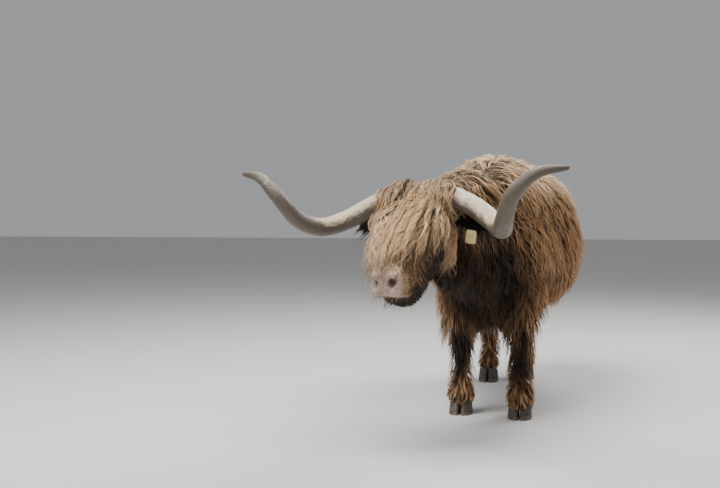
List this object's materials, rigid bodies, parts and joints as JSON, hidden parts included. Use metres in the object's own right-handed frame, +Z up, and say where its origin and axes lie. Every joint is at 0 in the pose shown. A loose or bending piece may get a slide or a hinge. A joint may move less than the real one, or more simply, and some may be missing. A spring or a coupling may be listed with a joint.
{
  "type": "highland cow",
  "caption": "Life-size highland cow standing with its head low and turned, long shaggy coat, forelock over the eyes, wide upswept horns and a blank ear tag.",
  "frame": {"origin": "on the floor, at the middle of the bounding box", "axes": "+Z up, the cow faces -Y, its left side is +X"},
  "size_m": [1.2952, 2.4592, 1.1544],
  "materials": {
    "coat": "long, matt, shaggy hair",
    "skin": "bare skin, slightly moist at the nose",
    "horn": "satin horn with grey mottling",
    "hoof": "dull ridged hoof horn",
    "eye": "wet and glossy",
    "tag": "plain moulded plastic, blank"
  },
  "bodies": {
    "root": {"trunk": "coat", "neck": "coat", "udder": "skin", "tail": "coat", "tail_switch": "coat", "head": "coat", "lower_jaw": "coat", "eye_left": "eye", "eye_right": "eye", "horn_left": "horn", "horn_right": "horn", "ear_left": "coat", "ear_right": "coat", "ear_tag": "tag", "forelock": "coat", "fore_leg_left": "coat", "fore_leg_left_outer_claw": "hoof", "fore_leg_left_inner_claw": "hoof", "fore_leg_right": "coat", "fore_leg_right_outer_claw": "hoof", "fore_leg_right_inner_claw": "hoof", "hind_leg_left": "coat", "hind_leg_left_outer_claw": "hoof", "hind_leg_left_inner_claw": "hoof", "hind_leg_right": "coat", "hind_leg_right_outer_claw": "hoof", "hind_leg_right_inner_claw": "hoof"}
  },
  "joints": []
}
